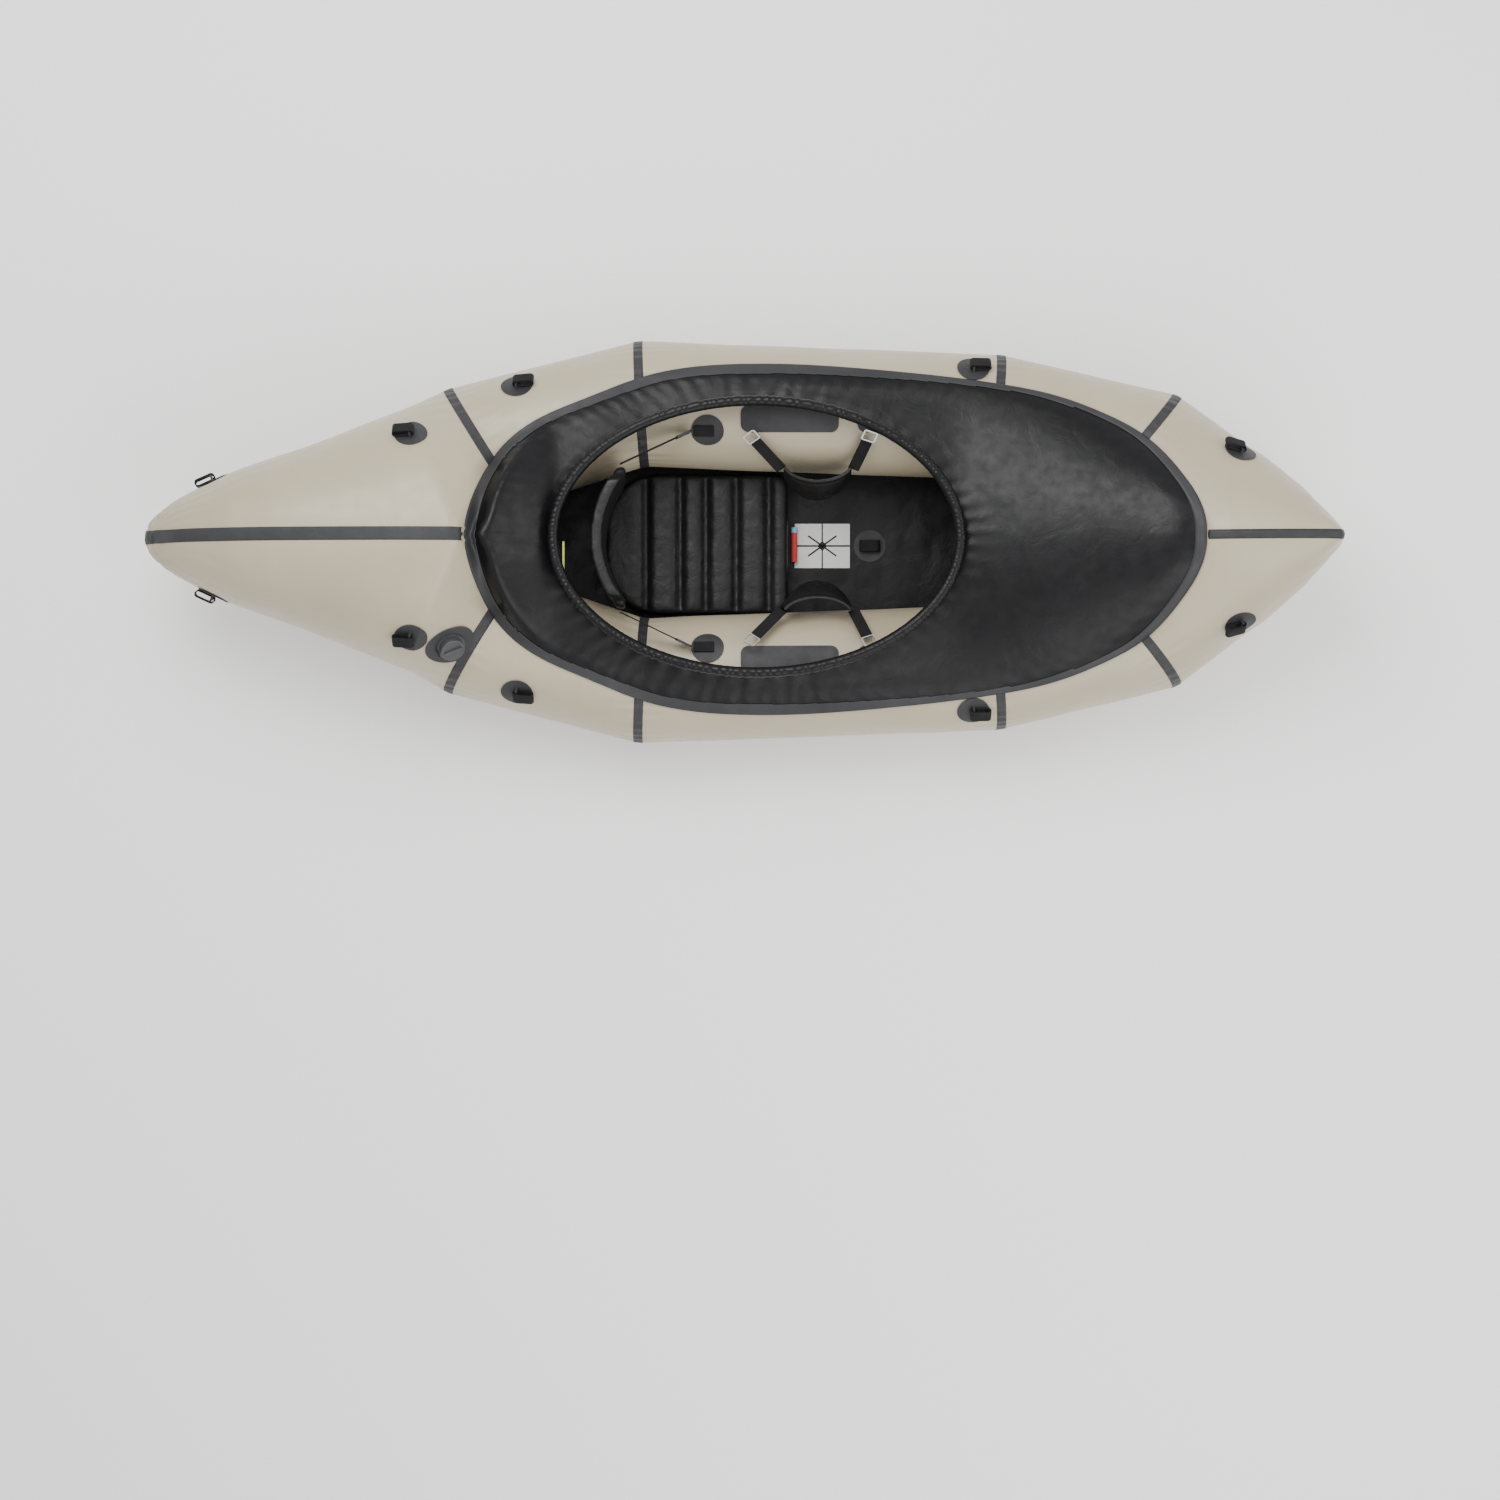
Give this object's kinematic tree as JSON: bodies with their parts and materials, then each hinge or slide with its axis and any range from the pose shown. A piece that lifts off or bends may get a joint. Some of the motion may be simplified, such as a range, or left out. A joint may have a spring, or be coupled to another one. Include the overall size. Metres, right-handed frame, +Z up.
{
  "type": "inflatable kayak",
  "caption": "Inflatable single-seat kayak with twin side tubes, a fabric spray deck and coaming, a padded seat and backrest, thigh straps and tie-down loops.",
  "frame": {"origin": "middle of the overall box, on the underside of the floor", "axes": "+X to the bow, +Y to port, +Z up"},
  "size_m": [2.5504, 0.88, 0.4772],
  "materials": {
    "blue_cap": "moulded",
    "buckle_metal": "brushed",
    "buckle_plastic": "moulded",
    "card": "blank printed card",
    "deck_fabric": "black coated fabric, glossy",
    "fin_plastic": "moulded",
    "hoop_rod": "moulded rod",
    "hull_fabric": "tan coated fabric, satin",
    "pad_fabric": "black coated fabric",
    "red_tube": "soft tube",
    "seam_tape": "dark grey welded tape, matt",
    "tab_fabric": "yellow-green tape",
    "valve_plastic": "moulded",
    "webbing": "black woven webbing"
  },
  "bodies": {
    "hull": {"backrest_anchor_patches": "seam_tape", "backrest_anchor_tabs": "webbing", "backrest_strap_port": "webbing", "backrest_strap_starboard": "webbing", "bow_centre_tape": "seam_tape", "bow_port": "hull_fabric", "bow_seam_tapes": "seam_tape", "bow_starboard": "hull_fabric", "care_cards": "card", "coaming_hoop": "hoop_rod", "coaming_riser": "deck_fabric", "coaming_sleeve": "deck_fabric", "deck": "deck_fabric", "deck_rim_tape": "seam_tape", "fin_base": "fin_plastic", "floor": "deck_fabric", "floor_anchor_loop": "webbing", "floor_anchor_patch": "seam_tape", "front_quarter_port": "hull_fabric", "front_quarter_starboard": "hull_fabric", "front_seam_tapes": "seam_tape", "ladder_locks": "buckle_plastic", "mouth_tube": "red_tube", "mouth_tube_cap": "blue_cap", "rear_quarter_port": "hull_fabric", "rear_quarter_starboard": "hull_fabric", "rear_seam_tapes": "seam_tape", "seat_cushion": "pad_fabric", "side_tube_port": "hull_fabric", "side_tube_starboard": "hull_fabric", "stern_centre_tape": "seam_tape", "stern_port": "hull_fabric", "stern_seam_tapes": "seam_tape", "stern_starboard": "hull_fabric", "thigh_strap_hooks": "buckle_metal", "thigh_strap_patches": "seam_tape", "tie_down_patches": "seam_tape", "valve_body": "valve_plastic", "valve_insert": "valve_plastic", "valve_patch": "seam_tape", "valve_tether": "webbing"},
    "tail_loop_port": {"tail_loop_port": "webbing"},
    "tail_loop_starboard": {"tail_loop_starboard": "webbing"},
    "stern_loop_port": {"stern_loop_port": "webbing"},
    "stern_loop_starboard": {"stern_loop_starboard": "webbing"},
    "rear_loop_port": {"rear_loop_port": "webbing"},
    "rear_loop_starboard": {"rear_loop_starboard": "webbing"},
    "front_loop_port": {"front_loop_port": "webbing"},
    "front_loop_starboard": {"front_loop_starboard": "webbing"},
    "bow_loop_port": {"bow_loop_port": "webbing"},
    "bow_loop_starboard": {"bow_loop_starboard": "webbing"},
    "valve_cap": {"valve_cap": "valve_plastic"},
    "fin": {"fin": "fin_plastic"},
    "backrest": {"backrest": "pad_fabric"},
    "pull_tab": {"pull_tab": "tab_fabric"},
    "thigh_strap_port": {"thigh_pad_port": "pad_fabric", "thigh_webbing_port": "webbing"},
    "thigh_strap_starboard": {"thigh_pad_starboard": "pad_fabric", "thigh_webbing_starboard": "webbing"}
  },
  "joints": [
    {"name": "tail_loop_port_flop", "type": "hinge", "parent": "hull", "child": "tail_loop_port", "pos_m": [-1.13125, 0.13025, 0.27913], "axis": [-0.0496, -0.1188, -0.9917], "range_deg": [0, 100]},
    {"name": "tail_loop_starboard_flop", "type": "hinge", "parent": "hull", "child": "tail_loop_starboard", "pos_m": [-1.13125, -0.13025, 0.27913], "axis": [0.0496, -0.1188, 0.9917], "range_deg": [0, 100]},
    {"name": "stern_loop_port_flop", "type": "hinge", "parent": "hull", "child": "stern_loop_port", "pos_m": [-0.69587, 0.2232, 0.39711], "axis": [0, 0.7427, -0.6697], "range_deg": [0, 100]},
    {"name": "stern_loop_starboard_flop", "type": "hinge", "parent": "hull", "child": "stern_loop_starboard", "pos_m": [-0.69587, -0.2232, 0.39711], "axis": [0, 0.7427, 0.6697], "range_deg": [0, 100]},
    {"name": "rear_loop_port_flop", "type": "hinge", "parent": "hull", "child": "rear_loop_port", "pos_m": [-0.48014, 0.33769, 0.27468], "axis": [0, -0.6788, 0.7343], "range_deg": [0, 100]},
    {"name": "rear_loop_starboard_flop", "type": "hinge", "parent": "hull", "child": "rear_loop_starboard", "pos_m": [-0.48014, -0.33769, 0.27468], "axis": [0, -0.6788, -0.7343], "range_deg": [0, 100]},
    {"name": "front_loop_port_flop", "type": "hinge", "parent": "hull", "child": "front_loop_port", "pos_m": [0.50026, 0.37624, 0.24708], "axis": [0, -0.721, 0.6929], "range_deg": [0, 100]},
    {"name": "front_loop_starboard_flop", "type": "hinge", "parent": "hull", "child": "front_loop_starboard", "pos_m": [0.50026, -0.37624, 0.24708], "axis": [0, -0.721, -0.6929], "range_deg": [0, 100]},
    {"name": "bow_loop_port_flop", "type": "hinge", "parent": "hull", "child": "bow_loop_port", "pos_m": [1.0643, 0.192, 0.33846], "axis": [0, 0.5945, -0.8041], "range_deg": [0, 100]},
    {"name": "bow_loop_starboard_flop", "type": "hinge", "parent": "hull", "child": "bow_loop_starboard", "pos_m": [1.0643, -0.192, 0.33846], "axis": [0, 0.5945, 0.8041], "range_deg": [0, 100]},
    {"name": "valve_cap_hinge", "type": "hinge", "parent": "hull", "child": "valve_cap", "pos_m": [-0.63717, -0.25001, 0.36334], "axis": [0.1758, -0.7031, -0.689], "range_deg": [0, 110]},
    {"name": "fin_slide", "type": "slide", "parent": "hull", "child": "fin", "axis": [-0.9563, 0, 0.2924], "range_m": [0, 0.14]},
    {"name": "backrest_fold", "type": "hinge", "parent": "hull", "child": "backrest", "pos_m": [-0.235, 0, 0.0864], "axis": [0, 1, 0], "range_deg": [0, 70]},
    {"name": "pull_tab_flop", "type": "hinge", "parent": "hull", "child": "pull_tab", "pos_m": [-0.376, -0.04, 0.34308], "axis": [0, -1, 0], "range_deg": [0, 80]},
    {"name": "thigh_strap_port_swing", "type": "hinge", "parent": "hull", "child": "thigh_strap_port", "pos_m": [0.151, 0.208, 0.28], "axis": [-1, 0, 0], "range_deg": [0, 42]},
    {"name": "thigh_strap_starboard_swing", "type": "hinge", "parent": "hull", "child": "thigh_strap_starboard", "pos_m": [0.151, -0.208, 0.28], "axis": [1, 0, 0], "range_deg": [0, 42]}
  ]
}
